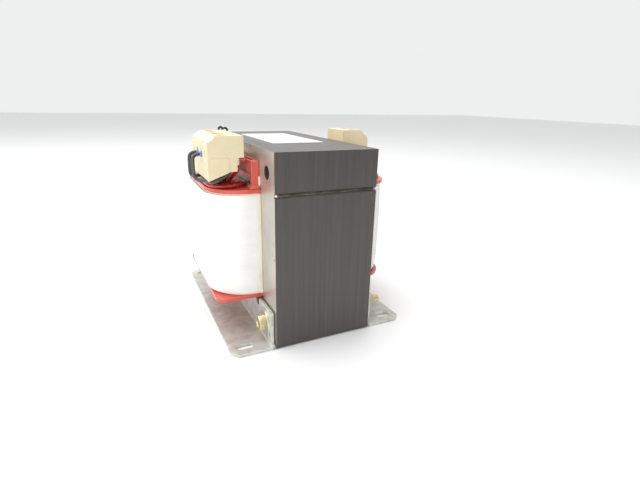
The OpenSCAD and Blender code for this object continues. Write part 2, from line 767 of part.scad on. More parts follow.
module yoke_nuts() {
    color("#c9b86a") at_bolts() translate([0, 0, nut_seat]) difference() {
        rotate([0, 0, 24]) cylinder(d = hex_af / cos(30), h = nut_h, $fn = 6);
        translate([0, 0, -1]) cylinder(d = bolt_d + 0.04, h = nut_h + 2);
    }
}

module plain_washers() {
    color("#cfc9a8") at_bolts() for (x = [-bracket_face - washer_t, bracket_face])
        translate([0, 0, x]) ring(bolt_d + 0.4, washer_d, washer_t);
}

module spring_washers() {
    d_out = bolt_d + 6;
    split = 0.8;
    color("#b9b58f") at_bolts() translate([0, 0, bracket_face + washer_t])
        difference() {
            ring(bolt_d + 0.4, d_out, spring_washer_t);
            translate([0, d_out / 2, spring_washer_t / 2]) rotate([0, 25, 0])
                cube([split, d_out, 3 * spring_washer_t], center = true);
        }
}

// ---------- nodes ----------

e_laminations();
i_laminations();
weld_beads();
rating_label();
coil_former();
common_winding();
interlayer_insulation();
series_winding();
coil_wrap();
left_terminal_rail();
right_terminal_rail();
left_terminal_block();
right_terminal_block();
left_marker_strip();
right_marker_strip();
left_current_bars();
right_current_bars();
left_winding_leads();
right_winding_leads();
near_jumper_wire();
far_jumper_wire();
rear_sleeved_leads();
ferrule_collars();
ferrule_sleeves();
left_foot_bracket();
right_foot_bracket();
foot_insulating_sheets();
window_liner_tabs();
bolt_insulating_tubes();
yoke_bolts();
yoke_nuts();
plain_washers();
spring_washers();
for (side = ["left", "right"], i = [0:poles(side) - 1]) {
    clamp_screw(side, i);
    clamp_cage(side, i);
}
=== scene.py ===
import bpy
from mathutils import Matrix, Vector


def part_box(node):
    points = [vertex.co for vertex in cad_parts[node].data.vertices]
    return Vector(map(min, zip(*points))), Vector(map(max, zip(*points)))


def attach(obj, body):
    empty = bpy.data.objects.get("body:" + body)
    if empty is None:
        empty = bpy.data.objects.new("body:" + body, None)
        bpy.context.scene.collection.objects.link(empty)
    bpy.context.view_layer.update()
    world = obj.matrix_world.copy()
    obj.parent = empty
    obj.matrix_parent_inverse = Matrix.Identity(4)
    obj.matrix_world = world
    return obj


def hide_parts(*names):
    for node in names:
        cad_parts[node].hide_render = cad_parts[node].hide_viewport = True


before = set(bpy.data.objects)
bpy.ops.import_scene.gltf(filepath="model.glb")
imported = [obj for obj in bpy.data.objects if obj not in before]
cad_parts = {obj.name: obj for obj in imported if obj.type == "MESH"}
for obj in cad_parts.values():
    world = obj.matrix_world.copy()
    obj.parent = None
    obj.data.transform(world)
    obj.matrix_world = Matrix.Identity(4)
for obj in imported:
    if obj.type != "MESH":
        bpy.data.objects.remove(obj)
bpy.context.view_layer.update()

import math
import random

import bmesh
import bpy
from mathutils import Matrix, Vector

# ---------------------------------------------------------------- camera, floor and light
# The transformer stands on a pale table in a bright room, seen from its near left corner
# with a wide lens. A broad soft light hangs above it and the walls fill in from all sides.
mm = 0.001
scene = bpy.context.scene
scene.view_settings.view_transform = "Standard"

azimuth, down, roll = (math.radians(a) for a in (26.215, 18.615, 1.306))
camera_place = Vector((-0.14597, -0.37978, 0.19746))
look = Vector((math.sin(azimuth) * math.cos(down), math.cos(azimuth) * math.cos(down), -math.sin(down)))
level = Vector((math.cos(azimuth), -math.sin(azimuth), 0))
rise = level.cross(look)
right = level * math.cos(roll) + rise * math.sin(roll)
upward = rise * math.cos(roll) - level * math.sin(roll)
camera = bpy.data.objects.new("camera", bpy.data.cameras.new("camera"))
camera.data.lens = 23.52
camera.data.sensor_width = 36
camera.data.clip_start = 0.01
camera.matrix_world = (Matrix.Translation(camera_place)
                       @ Matrix((right, upward, -look)).transposed().to_4x4())
scene.collection.objects.link(camera)
scene.camera = camera


def add(tree, kind, inputs=None, **settings):
    """A shader node with its settings made and its inputs set or linked."""
    node = tree.nodes.new(kind)
    for key, value in settings.items():
        setattr(node, key, value)
    for key, value in (inputs or {}).items():
        if isinstance(value, bpy.types.NodeSocket):
            tree.links.new(value, node.inputs[key])
        else:
            node.inputs[key].default_value = value
    return node


def finish(name, colour, roughness, **sockets):
    """A material whose plain values sit on its Principled shader."""
    mat = bpy.data.materials.new(name)
    mat.use_nodes = True
    shader = mat.node_tree.nodes["Principled BSDF"]
    shader.inputs["Base Color"].default_value = (*colour, 1)
    shader.inputs["Roughness"].default_value = roughness
    for key, value in sockets.items():
        shader.inputs[key.replace("_", " ")].default_value = value
    return mat, mat.node_tree, shader


def object_place(tree):
    return add(tree, "ShaderNodeTexCoord").outputs["Object"]


def blend_colour(tree, mask, first, second):
    return add(tree, "ShaderNodeMix", {0: mask, 6: first, 7: second}, data_type="RGBA").outputs[2]


def area_light(name, place, aim, size, watts):
    data = bpy.data.lights.new(name, "AREA")
    data.shape = "RECTANGLE"
    data.size, data.size_y = size
    data.energy = watts
    lamp = bpy.data.objects.new(name, data)
    lamp.location = place
    lamp.rotation_euler = (Vector(aim) - Vector(place)).to_track_quat("-Z", "Y").to_euler()
    scene.collection.objects.link(lamp)


area_light("ceiling_light", (-0.35, 0.25, 1.5), (0, 0, 0), (1.7, 1.7), 26)
area_light("side_light", (-1.5, -0.2, 0.7), (0, 0, 0.08), (1.2, 0.9), 3)
area_light("front_light", (-0.75, -1.05, 0.22), (-0.03, 0, 0.06), (0.7, 0.5), 3.8)

world = bpy.data.worlds.new("room")
world.use_nodes = True
scene.world = world
room = world.node_tree
direction = add(room, "ShaderNodeTexCoord")
bright_side = (-0.15, 0.97, 0.22)
behind = add(room, "ShaderNodeVectorMath", {0: direction.outputs["Generated"], 1: bright_side},
             operation="DOT_PRODUCT")
wall = add(room, "ShaderNodeMapRange", {"Value": behind.outputs["Value"], "From Min": -0.9,
                                        "From Max": 0.35, "To Min": 0.5, "To Max": 0.87})
room.links.new(wall.outputs["Result"], room.nodes["Background"].inputs["Strength"])
room.nodes["Background"].inputs["Color"].default_value = (0.99, 0.995, 1, 1)

bm = bmesh.new()
bmesh.ops.create_grid(bm, x_segments=1, y_segments=1, size=5)
floor_mesh = bpy.data.meshes.new("table_top")
bm.to_mesh(floor_mesh)
bm.free()
floor = bpy.data.objects.new("table_top", floor_mesh)
scene.collection.objects.link(floor)
paint, tree, shader = finish("table_white", (0.88, 0.88, 0.875), 0.5)
haze = add(tree, "ShaderNodeTexNoise", {"Vector": object_place(tree), "Scale": 6, "Detail": 3})
tone = blend_colour(tree, haze.outputs["Fac"], (0.87, 0.87, 0.865, 1), (0.89, 0.89, 0.89, 1))
tree.links.new(tone, shader.inputs["Base Color"])
floor_mesh.materials.append(paint)


# ---------------------------------------------------------------- laminated core
# Punched silicon-steel E and I sheets, half a millimetre thick, stacked along X, then dipped
# in dark varnish. Each sheet lies a little off its neighbours, so the edges show fine ridges.
def group(name, inputs, outputs):
    """A node group and its input and output sockets, by name."""
    tree = bpy.data.node_groups.new(name, "ShaderNodeTree")
    for label, kind, value in inputs:
        socket = tree.interface.new_socket(label, in_out="INPUT", socket_type="NodeSocket" + kind)
        socket.default_value = value
    for label, kind in outputs:
        tree.interface.new_socket(label, in_out="OUTPUT", socket_type="NodeSocket" + kind)
    return tree, tree.nodes.new("NodeGroupInput").outputs, tree.nodes.new("NodeGroupOutput").inputs


def use(tree, group_tree, **values):
    """One use of a group in a material; an underscore stands for a space."""
    return add(tree, "ShaderNodeGroup", {k.replace("_", " "): v for k, v in values.items()},
               node_tree=group_tree).outputs


def stretched_noise(tree, stretch, detail):
    """Noise with so many patches per metre along X, Y and Z."""
    spread = add(tree, "ShaderNodeVectorMath", {0: object_place(tree), 1: stretch}, operation="MULTIPLY")
    noise = add(tree, "ShaderNodeTexNoise", {"Vector": spread.outputs[0], "Scale": 1, "Detail": detail})
    return noise.outputs["Fac"]


# Two colours that run into each other in patches; Stretch is patches per metre along X, Y and Z
mottle, ins, outs = group("mottle",
                          [("First", "Color", (1, 1, 1, 1)), ("Second", "Color", (0, 0, 0, 1)),
                           ("Stretch", "Vector", (50, 50, 50)), ("Low", "Float", 0.35),
                           ("High", "Float", 0.65)],
                          [("Color", "Color"), ("Mask", "Float")])
clear = add(mottle, "ShaderNodeMapRange", {"Value": stretched_noise(mottle, ins["Stretch"], 4),
                                           "From Min": ins["Low"], "From Max": ins["High"]})
mixed = blend_colour(mottle, clear.outputs[0], ins["First"], ins["Second"])
mottle.links.new(mixed, outs["Color"])
mottle.links.new(clear.outputs[0], outs["Mask"])

# Small surface relief, and a roughness that follows it
relief, ins, outs = group("surface relief",
                          [("Stretch", "Vector", (900, 900, 900)), ("Roughness", "Float", 0.4),
                           ("Variation", "Float", 0.1)],
                          [("Height", "Float"), ("Roughness", "Float")])
grain = stretched_noise(relief, ins["Stretch"], 3)
centred = add(relief, "ShaderNodeMath", {0: grain, 1: 0.5}, operation="SUBTRACT")
varied = add(relief, "ShaderNodeMath", {0: centred.outputs[0], 1: ins["Variation"], 2: ins["Roughness"]},
             operation="MULTIPLY_ADD")
relief.links.new(grain, outs["Height"])
relief.links.new(varied.outputs[0], outs["Roughness"])

# Where an edge is rubbed: the rounded edges of a piece, broken up by a fine noise
wear, ins, outs = group("edge wear", [("Amount", "Float", 0.8)], [("Mask", "Float")])
edge = add(wear, "ShaderNodeAttribute", attribute_name="edge")
patchy = add(wear, "ShaderNodeTexNoise", {"Vector": object_place(wear), "Scale": 260, "Detail": 2})
broken = add(wear, "ShaderNodeMapRange", {"Value": patchy.outputs["Fac"], "From Min": 0.38, "From Max": 0.6,
                                          "To Max": ins["Amount"]})
rubbed = add(wear, "ShaderNodeMath", {0: edge.outputs["Fac"], 1: broken.outputs[0]}, operation="MULTIPLY")
wear.links.new(rubbed.outputs[0], outs["Mask"])


def bump(tree, shader, height, distance):
    node = add(tree, "ShaderNodeBump", {"Height": height, "Distance": distance, "Strength": 1})
    tree.links.new(node.outputs[0], shader.inputs["Normal"])


def mottled(tree, shader, first, second, stretch, **limits):
    """Two colours in patches, as the base colour."""
    patches = use(tree, mottle, First=(*first, 1), Second=(*second, 1), Stretch=stretch, **limits)
    tree.links.new(patches["Color"], shader.inputs["Base Color"])


def textured(tree, shader, stretch, roughness, variation, depth):
    """Surface relief and the roughness that follows it."""
    skin = use(tree, relief, Stretch=stretch, Roughness=roughness, Variation=variation)
    tree.links.new(skin["Roughness"], shader.inputs["Roughness"])
    bump(tree, shader, skin["Height"], depth)


def blend_value(tree, mask, first, second):
    return add(tree, "ShaderNodeMix", {0: mask, 2: first, 3: second}).outputs[0]


varnish, tree, shader = finish("varnished_laminations", (0.04, 0.036, 0.033), 0.34, Coat_Weight=0.25,
                               Coat_Roughness=0.22)
ridges = use(tree, mottle, First=(0.046, 0.041, 0.037, 1), Second=(0.064, 0.058, 0.052, 1),
             Stretch=(1500, 9, 9), Low=0.3, High=0.72)
bands = use(tree, mottle, First=(0.88, 0.88, 0.88, 1), Second=(1.12, 1.1, 1.07, 1), Stretch=(260, 7, 7),
            Low=0.3, High=0.7)
edges = add(tree, "ShaderNodeMix", {0: 1.0, 6: ridges["Color"], 7: bands["Color"]}, data_type="RGBA",
            blend_type="MULTIPLY")
flats = use(tree, mottle, First=(0.5, 0.47, 0.42, 1), Second=(0.6, 0.57, 0.52, 1), Stretch=(60, 60, 35),
            Low=0.3, High=0.7)
spots = use(tree, mottle, First=(0, 0, 0, 1), Second=(1, 1, 1, 1), Stretch=(170, 170, 130), Low=0.66,
            High=0.74)
stained = blend_colour(tree, spots["Mask"], flats["Color"], (0.3, 0.22, 0.15, 1))
# the flat faces of the end sheets look along X; every other face shows the sheets' edges
facing = add(tree, "ShaderNodeSeparateXYZ", {0: add(tree, "ShaderNodeTexCoord").outputs["Normal"]})
across = add(tree, "ShaderNodeMath", {0: facing.outputs[0]}, operation="ABSOLUTE")
is_flat = add(tree, "ShaderNodeMath", {0: across.outputs[0], 1: 0.6}, operation="GREATER_THAN").outputs[0]
tree.links.new(blend_colour(tree, is_flat, edges.outputs[2], stained), shader.inputs["Base Color"])
tree.links.new(blend_value(tree, is_flat, 0.0, 0.75), shader.inputs["Metallic"])
dull = use(tree, relief, Stretch=(1100, 40, 40), Roughness=0.36, Variation=0.22)
sheen = use(tree, relief, Stretch=(240, 240, 240), Roughness=0.4, Variation=0.18)
tree.links.new(blend_value(tree, is_flat, dull["Roughness"], sheen["Roughness"]),
               shader.inputs["Roughness"])
bump(tree, shader, blend_value(tree, is_flat, dull["Height"], sheen["Height"]), 0.00006)


def new_piece(name, bm, *materials, body="transformer", slot=None, replaces=(), smooth=None):
    """The bmesh as an object that rides on a body; smooth is the angle up to which faces blend."""
    if smooth:
        for face in bm.faces:
            face.smooth = True
        for edge in bm.edges:
            edge.smooth = len(edge.link_faces) == 2 and edge.calc_face_angle(0) < math.radians(smooth)
    mesh = bpy.data.meshes.new(name)
    bm.to_mesh(mesh)
    bm.free()
    for material in materials:
        mesh.materials.append(material)
    piece = bpy.data.objects.new(name, mesh)
    scene.collection.objects.link(piece)
    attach(piece, body)
    if replaces:
        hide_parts(*replaces)
    return piece


def of_kind(kind, geom):
    """The vertices, edges or faces among what an operator gave back."""
    return [g for g in geom if isinstance(g, kind)]


def edges_round(verts):
    return {e for v in verts for e in v.link_edges}


def polygon_edges(bm, points, x):
    """A closed ring of edges through (y, z) points given in millimetres."""
    verts = [bm.verts.new((x, y * mm, z * mm)) for y, z in points]
    return [bm.edges.new((a, b)) for a, b in zip(verts, verts[1:] + verts[:1])]


def sheet_stack(name, outline, hole_centres, node, seed):
    """Sheets punched to one outline, each shifted a little and joined to the next by a slanted seam."""
    low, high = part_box(node)
    sheet_t, seam, hole_r = 0.5 * mm, 0.12 * mm, 5.5 * mm
    memory, drift, slip = 0.9, (0.005, 0.006), (0.022, 0.03)
    sheets = round((high.x - low.x) / sheet_t)
    pitch = (high.x - low.x + seam) / sheets
    bm = bmesh.new()
    rims = polygon_edges(bm, outline, low.x)
    for y, z in hole_centres:
        ring = bmesh.ops.create_circle(bm, segments=22, radius=hole_r,
                                       matrix=Matrix.Translation((low.x, y * mm, z * mm))
                                       @ Matrix.Rotation(math.pi / 2, 4, "Y"))
        rims += list(edges_round(ring["verts"]))
    filled = bmesh.ops.triangle_fill(bm, use_beauty=True, use_dissolve=False, edges=rims)
    front = of_kind(bmesh.types.BMFace, filled["geom"])
    chance = random.Random(seed)
    offset, wander = Vector((0, 0, 0)), Vector((0, 0, 0))
    for k in range(sheets):
        shifts = [Vector((pitch - seam, 0, 0))]
        if k < sheets - 1:
            wander = memory * wander + Vector((0, *(chance.gauss(0, d) for d in drift))) * mm
            target = wander + Vector((0, *(chance.uniform(-d, d) for d in slip))) * mm
            shifts.append(target - offset + Vector((seam, 0, 0)))
            offset = target
        for shift in shifts:
            grown = bmesh.ops.extrude_face_region(bm, geom=front)["geom"]
            front = of_kind(bmesh.types.BMFace, grown)
            bmesh.ops.translate(bm, vec=shift, verts=of_kind(bmesh.types.BMVert, grown))
    bmesh.ops.recalc_face_normals(bm, faces=bm.faces)
    new_piece(name, bm, varnish, slot="core_varnish", replaces=[node])


# The yokes and outer legs are one yoke wide and the centre leg two; sizes are in millimetres
yoke, groove, hole_edge = 32, 2.1, 17
(_, _, base), (_, length, joint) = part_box("e_laminations")
yoke_end, base_z, joint_z, top_z = length / mm, base / mm, joint / mm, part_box("i_laminations")[1].z / mm
leg_in, centre_half, window_z = yoke_end - yoke, yoke, base_z + yoke
hole_y, low_hole_z, high_hole_z = yoke_end - hole_edge, base_z + hole_edge, top_z - hole_edge
e_half = [(yoke_end, joint_z - groove), (yoke_end - groove, joint_z), (leg_in, joint_z), (leg_in, window_z),
          (centre_half, window_z), (centre_half, joint_z)]
e_outline = [(-yoke_end, base_z), (yoke_end, base_z)] + e_half + [(-y, z) for y, z in reversed(e_half)]
i_outline = [(-yoke_end + groove, joint_z), (yoke_end - groove, joint_z), (yoke_end, joint_z + groove),
             (yoke_end, top_z), (-yoke_end, top_z), (-yoke_end, joint_z + groove)]
sheet_stack("e_sheet_stack", e_outline, [(-hole_y, low_hole_z), (hole_y, low_hole_z)], "e_laminations", 3)
sheet_stack("i_sheet_stack", i_outline, [(-hole_y, high_hole_z), (hole_y, high_hole_z)], "i_laminations", 8)

# ---------------------------------------------------------------- weld beads
# One run of weld along each E-to-I joint, laid in a shallow groove and varnished over with the
# core. The bead is rippled, and ends in a bright lump at the edge of the stack.
weld, tree, shader = finish("varnished_weld", (0.05, 0.045, 0.04), 0.35, Metallic=0.3)
tone = use(tree, mottle, First=(0.03, 0.027, 0.024, 1), Second=(0.11, 0.085, 0.06, 1),
           Stretch=(140, 300, 300))
bare_from, bare_by = 41.5 * mm, 42.8 * mm
along = add(tree, "ShaderNodeSeparateXYZ", {0: object_place(tree)})
reach = add(tree, "ShaderNodeMath", {0: along.outputs[0]}, operation="ABSOLUTE")
end_mask = add(tree, "ShaderNodeMapRange", {"Value": reach.outputs[0], "From Min": bare_from,
                                            "From Max": bare_by})
tree.links.new(blend_colour(tree, end_mask.outputs[0], tone["Color"], (0.72, 0.7, 0.66, 1)),
               shader.inputs["Base Color"])
tree.links.new(blend_value(tree, end_mask.outputs[0], 0.15, 0.9), shader.inputs["Metallic"])
textured(tree, shader, (900, 900, 900), 0.32, 0.2, 0.0001)

bm = bmesh.new()
bead_low, bead_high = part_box("weld_beads")
bead_y = bead_high.y - 2 * mm
end_radii = (0.7, 1.5, 1.95, 1.9, 1.7)
steps, end_gap, sink = 66, 0.2 * mm, 0.35 * mm
chance = random.Random(11)
for side in (-1, 1):
    centre = Vector((bead_low.x + end_gap, side * (bead_y - sink), joint_z * mm))
    ring = bmesh.ops.create_circle(bm, segments=14, radius=end_radii[0] * mm,
                                   matrix=Matrix.Translation(centre) @ Matrix.Rotation(math.pi / 2, 4, "Y"))
    loop = list(edges_round(ring["verts"]))
    bmesh.ops.contextual_create(bm, geom=loop)
    radius = end_radii[0]
    run = (bead_high.x - bead_low.x - 2 * end_gap) / steps
    for k in range(steps):
        grown = bmesh.ops.extrude_edge_only(bm, edges=loop)["geom"]
        verts, loop = of_kind(bmesh.types.BMVert, grown), of_kind(bmesh.types.BMEdge, grown)
        near_end = min(k + 1, steps - k - 1)
        if near_end < len(end_radii):
            wanted = end_radii[near_end]
        else:
            wanted = 1.42 + 0.13 * (k % 3 == 0) + chance.uniform(-0.08, 0.08)
        centre.x += run
        bmesh.ops.translate(bm, vec=(run, 0, 0), verts=verts)
        bmesh.ops.scale(bm, vec=(1, wanted / radius, wanted / radius), space=Matrix.Translation(-centre),
                        verts=verts)
        radius = wanted
    bmesh.ops.contextual_create(bm, geom=loop)
bmesh.ops.recalc_face_normals(bm, faces=bm.faces)
new_piece("weld_runs", bm, weld, slot="weld_metal", replaces=["weld_beads"], smooth=70)


# ---------------------------------------------------------------- rating label
# A white polyester film stuck to the top of the core, left blank but for a ruled form. Its
# corners are rounded and it lies flat.
def plate(bm, low, high, corner):
    """A flat plate between two corners, with rounded vertical edges."""
    size = Vector(high) - Vector(low)
    made = bmesh.ops.create_cube(bm, size=1, matrix=Matrix.Translation((Vector(high) + Vector(low)) / 2)
                                 @ Matrix.Diagonal((*size, 1)))["verts"]
    upright = [e for e in edges_round(made) if abs((e.verts[0].co - e.verts[1].co).z) > size.z / 2]
    bmesh.ops.bevel(bm, geom=upright, offset=corner, offset_type="OFFSET", segments=6, profile=0.5,
                    affect="EDGES", material=-1)


film, tree, shader = finish("label_film", (0.9, 0.9, 0.9), 0.3, Coat_Weight=0.3, Coat_Roughness=0.15)
rule_pitch = 7.5 * mm
spot = add(tree, "ShaderNodeSeparateXYZ", {0: object_place(tree)})
rows = add(tree, "ShaderNodeMath", {0: spot.outputs[0], 1: 1 / rule_pitch}, operation="MULTIPLY")
row = add(tree, "ShaderNodeMath", {0: rows.outputs[0]}, operation="FRACT")
ruled = add(tree, "ShaderNodeMath", {0: row.outputs[0], 1: 0.05}, operation="LESS_THAN")
faint = add(tree, "ShaderNodeMath", {0: ruled.outputs[0], 1: 0.28}, operation="MULTIPLY")
clean = use(tree, mottle, First=(0.72, 0.715, 0.7, 1), Second=(0.78, 0.775, 0.76, 1), Stretch=(40, 40, 40))
tree.links.new(blend_colour(tree, faint.outputs[0], clean["Color"], (0.35, 0.36, 0.4, 1)),
               shader.inputs["Base Color"])
textured(tree, shader, (300, 300, 300), 0.3, 0.1, 0.00003)

bm = bmesh.new()
plate(bm, *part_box("rating_label"), 3 * mm)
new_piece("blank_rating_label", bm, film, slot="label_film", replaces=["rating_label"])


# ---------------------------------------------------------------- coil former
# A glass-filled polyamide bobbin, moulded in glossy red, with the winding between its flanges.
# Its edges are slightly rounded by the mould.
def softened(name, node, radius, material, slot, body="transformer", least=0.0, merge=True):
    """A copy of a CAD node with its sharp edges rounded.

    Edges no longer than least stay sharp. merge first joins neighbouring faces that lie flat.
    The rounded faces carry the attribute that the edge wear reads.
    """
    flat, sharp = math.radians(0.4), math.radians(34)
    bm = bmesh.new()
    bm.from_mesh(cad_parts[node].data)
    bmesh.ops.remove_doubles(bm, verts=bm.verts, dist=2e-6)
    if merge:
        bmesh.ops.dissolve_limit(bm, angle_limit=flat, verts=bm.verts, edges=bm.edges)
    crisp = [e for e in bm.edges if len(e.link_faces) == 2 and e.calc_face_angle(0) > sharp
             and e.calc_length() > least]
    edge = bm.faces.layers.float.new("edge")
    rounded = bmesh.ops.bevel(bm, geom=crisp, offset=radius, offset_type="OFFSET", segments=2, profile=0.5,
                              affect="EDGES", clamp_overlap=False, material=-1)["faces"]
    for face in rounded:
        face[edge] = 1
    bmesh.ops.remove_doubles(bm, verts=bm.verts, dist=1e-6)
    new_piece(name, bm, material, body=body, slot=slot, replaces=[node], smooth=22)


def moulding(name, colour, darker, roughness, **sockets):
    """A moulded plastic: flow marks, a fine skin and paler rubbed edges."""
    mat, tree, shader = finish(name, colour, roughness, **sockets)
    flow = use(tree, mottle, First=(*colour, 1), Second=(*darker, 1), Stretch=(45, 45, 70), Low=0.3,
               High=0.75)
    pale = tuple(min(1, c * 0.8 + 0.16) for c in colour)
    rub = use(tree, wear, Amount=0.6)
    tree.links.new(blend_colour(tree, rub["Mask"], flow["Color"], (*pale, 1)), shader.inputs["Base Color"])
    textured(tree, shader, (700, 700, 700), roughness, 0.14, 0.00003)
    return mat


red_plastic = moulding("red_polyamide", (0.62, 0.09, 0.06), (0.53, 0.065, 0.045), 0.3, Coat_Weight=0.2,
                       Coat_Roughness=0.12)
softened("moulded_bobbin", "coil_former", 0.2 * mm, red_plastic, "red_moulding", least=0.9 * mm)


# ---------------------------------------------------------------- windings and outer wrap
# Enamelled copper in two windings with paper between them, all hidden by the outer wrap: white
# glass tape wound flat round the coil, each turn half over the last, with a paper cuff at both ends.
def coat(node, material):
    """Gives a CAD node that stays as it is its material."""
    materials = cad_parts[node].data.materials
    materials.clear()
    materials.append(material)


copper, tree, shader = finish("enamelled_copper", (0.5, 0.2, 0.09), 0.32, Metallic=0.9)
turn_pitch = 2.4 * mm
place = add(tree, "ShaderNodeSeparateXYZ", {0: object_place(tree)})
turns = add(tree, "ShaderNodeMath", {0: place.outputs[2], 1: 2 * math.pi / turn_pitch},
            operation="MULTIPLY")
wave = add(tree, "ShaderNodeMath", {0: turns.outputs[0]}, operation="SINE")
bump(tree, shader, wave.outputs[0], 0.0004)
mottled(tree, shader, (0.55, 0.22, 0.1), (0.42, 0.15, 0.07), (20, 20, 420))
coat("common_winding", copper)
coat("series_winding", copper)

tape, tree, shader = finish("white_glass_tape", (0.9, 0.9, 0.885), 0.62, Sheen_Weight=0.1)
mottled(tree, shader, (0.93, 0.93, 0.92), (0.86, 0.855, 0.83), (30, 30, 90), Low=0.35, High=0.8)
where = object_place(tree)
threads = [add(tree, "ShaderNodeTexWave", {"Vector": where, "Scale": 900, "Distortion": 0.6},
               wave_type="BANDS", bands_direction=way).outputs["Fac"] for way in ("Z", "DIAGONAL")]
weave = add(tree, "ShaderNodeMath", {0: threads[0], 1: threads[1]}, operation="ADD")
bump(tree, shader, weave.outputs[0], 0.00006)

cream, tree, shader = finish("cream_paper", (0.8, 0.66, 0.43), 0.7)
mottled(tree, shader, (0.9, 0.84, 0.7), (0.8, 0.66, 0.45), (120, 120, 60), Low=0.4, High=0.85)
textured(tree, shader, (600, 600, 90), 0.7, 0.15, 0.00005)
coat("interlayer_insulation", cream)


def coil_outline(bm, half_x, half_y, corner, z):
    """A ring of edges round the coil, in millimetres, fine enough to bulge."""
    verts = [bm.verts.new((x * half_x * mm, y * half_y * mm, z * mm)) for x, y in
             ((-1, -1), (1, -1), (1, 1), (-1, 1))]
    bm.faces.new(verts)
    bmesh.ops.bevel(bm, geom=verts, offset=corner * mm, offset_type="OFFSET", segments=14, profile=0.5,
                    affect="VERTICES", material=-1)
    straight = [e for e in bm.edges if e.calc_length() > 20 * mm]
    bmesh.ops.subdivide_edges(bm, edges=straight, cuts=9, use_grid_fill=False)
    bmesh.ops.delete(bm, geom=list(bm.faces), context="FACES_ONLY")
    return list(bm.edges)


def wound_sleeve(name, levels, material, slot, replaces=(), wall=1.5):
    """A sleeve round the coil: levels are (height, half size across X, half size across Y)."""
    corner = 31.4
    bm = bmesh.new()
    z, half_x, half_y = levels[0]
    loop = coil_outline(bm, half_x, half_y, corner, z)
    for z_next, x_next, y_next in levels[1:]:
        grown = bmesh.ops.extrude_edge_only(bm, edges=loop)["geom"]
        verts, loop = of_kind(bmesh.types.BMVert, grown), of_kind(bmesh.types.BMEdge, grown)
        bmesh.ops.translate(bm, vec=(0, 0, (z_next - z) * mm), verts=verts)
        bmesh.ops.scale(bm, vec=(x_next / half_x, y_next / half_y, 1), verts=verts)
        z, half_x, half_y = z_next, x_next, y_next
    bmesh.ops.recalc_face_normals(bm, faces=bm.faces)
    if sum(f.normal.dot(f.calc_center_median() * Vector((1, 1, 0))) for f in bm.faces) < 0:
        bmesh.ops.reverse_faces(bm, faces=bm.faces)
    piece = new_piece(name, bm, material, slot=slot, replaces=replaces, smooth=24)
    shell = piece.modifiers.new("wall", "SOLIDIFY")
    shell.thickness, shell.offset, shell.use_even_offset = wall * mm, -1, True


# The tape swells quickly from each end to a nearly straight side, and steps in and out at each lap
wrap_low, wrap_high = (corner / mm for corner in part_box("coil_wrap"))
coil_low, coil_high, end_x, end_y = wrap_low.z, wrap_high.z, wrap_high.x - 1.1, wrap_high.y - 0.9
cuff_h, lap, lap_step, swell_x, swell_y, sharpness = 2.3, 10.45, 0.16, 4.4, 0.3, 0.22
levels, z, turn = [], coil_low + cuff_h - 0.9, 0
while z < coil_high - cuff_h + 0.8:
    ledge = lap_step if turn % 2 else 0.0
    for height in (z, z + 0.35 * lap, z + 0.7 * lap, z + lap - 0.14):
        height = min(height, coil_high - cuff_h + 0.9)
        swell = math.sin(math.pi * (height - coil_low) / (coil_high - coil_low)) ** sharpness
        levels.append((height, end_x + swell_x * swell + ledge, end_y + swell_y * swell + ledge))
    z += lap
    turn += 1
levels = [level for n, level in enumerate(levels) if n == 0 or level[0] > levels[n - 1][0]]
wound_sleeve("tape_wrap", levels, tape, "white_wrap", replaces=["coil_wrap"])
cuff_gap, cuff_root, cuff_rim = 0.05, (end_x, end_y - 0.2), (end_x + 0.15, end_y - 0.05)
wound_sleeve("lower_paper_cuff", [(coil_low + cuff_gap, *cuff_root), (coil_low + cuff_h, *cuff_rim)],
             cream, "insulating_paper", wall=1.2)
wound_sleeve("upper_paper_cuff", [(coil_high - cuff_h, *cuff_rim), (coil_high - cuff_gap, *cuff_root)],
             cream, "insulating_paper", wall=1.2)


# ---------------------------------------------------------------- window lining
# Presspaper folded round each side of the coil where it enters the core's windows. Its edges
# stand about two millimetres out of the core, and near-black tabs below the lower flange are
# painted shade for the dark triangles under it.
def paper_strip(name, x_ends, y, z_ends, ripple, seed):
    """A thin upright strip whose outer edge wavers; sizes in millimetres."""
    bm = bmesh.new()
    (x_low, x_high), (z_low, z_high) = sorted(x_ends), z_ends
    width, height = x_high - x_low, z_high - z_low
    middle = ((x_low + x_high) / 2 * mm, y * mm, (z_low + z_high) / 2 * mm)
    bmesh.ops.create_grid(bm, x_segments=3, y_segments=22, size=0.5,
                          matrix=Matrix.Translation(middle)
                          @ Matrix.Diagonal((width * mm, 1, height * mm, 1))
                          @ Matrix.Rotation(math.pi / 2, 4, "X"))
    chance = random.Random(seed)
    outer = max(bm.verts, key=lambda v: abs(v.co.x)).co.x
    drift = {}
    for vert in bm.verts:
        row = round(vert.co.z / mm)
        drift.setdefault(row, chance.uniform(-ripple, ripple))
        share = 1 - abs(outer - vert.co.x) / (width * mm)
        vert.co.x += drift[row] * mm * share
        vert.co.y += 0.5 * drift[row] * mm * share * share
    piece = new_piece(name, bm, cream, slot="insulating_paper", smooth=50)
    shell = piece.modifiers.new("sheet", "SOLIDIFY")
    shell.thickness, shell.offset = 0.28 * mm, 0


window_x, window_y, window_span = (44.06, 46.4), 63.3, (37.3, 124.6)
rail_x, rail_y, rail_span = (44.05, 45.0), 61.4, (128.3, 138.2)
for n, (x_side, y_side) in enumerate([(-1, -1), (1, -1), (1, 1), (-1, 1)]):
    paper_strip(f"window_paper_{n + 1}", [x_side * x for x in window_x], y_side * window_y, window_span,
                0.35, 20 + n)
    paper_strip(f"rail_paper_{n + 1}", [x_side * x for x in rail_x], y_side * rail_y, rail_span,
                0.1, 40 + n)
